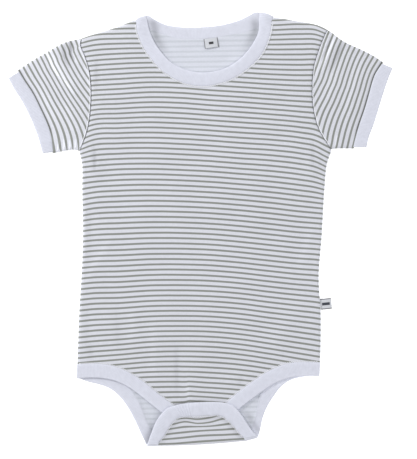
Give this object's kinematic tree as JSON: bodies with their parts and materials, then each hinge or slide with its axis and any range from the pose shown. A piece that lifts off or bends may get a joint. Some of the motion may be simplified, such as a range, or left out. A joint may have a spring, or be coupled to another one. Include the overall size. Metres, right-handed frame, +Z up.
{
  "type": "baby bodysuit",
  "caption": "Short-sleeved baby bodysuit in finely striped jersey with plain rib bands, laid flat with its crotch flap folded over the front.",
  "frame": {"origin": "on the ground under the middle of the garment's box, as it lies on its back", "axes": "+Y towards the neck, +X to the viewer's right (the wearer's left), +Z up off the ground"},
  "size_m": [0.337, 0.38, 0.006],
  "materials": {
    "striped_jersey": "fine single jersey, off-white with narrow grey-green stripes, matt",
    "rib_band": "white cotton rib, fine upright ribs, matt",
    "label_tape": "white woven tape, slight sheen"
  },
  "bodies": {
    "root": {"back_panel": "striped_jersey", "front_panel": "striped_jersey", "left_sleeve": "striped_jersey", "right_sleeve": "striped_jersey", "left_cuff": "rib_band", "right_cuff": "rib_band", "neck_band": "rib_band", "front_leg_band": "rib_band", "back_leg_band": "rib_band", "size_label": "label_tape", "side_label": "label_tape"}
  },
  "joints": []
}
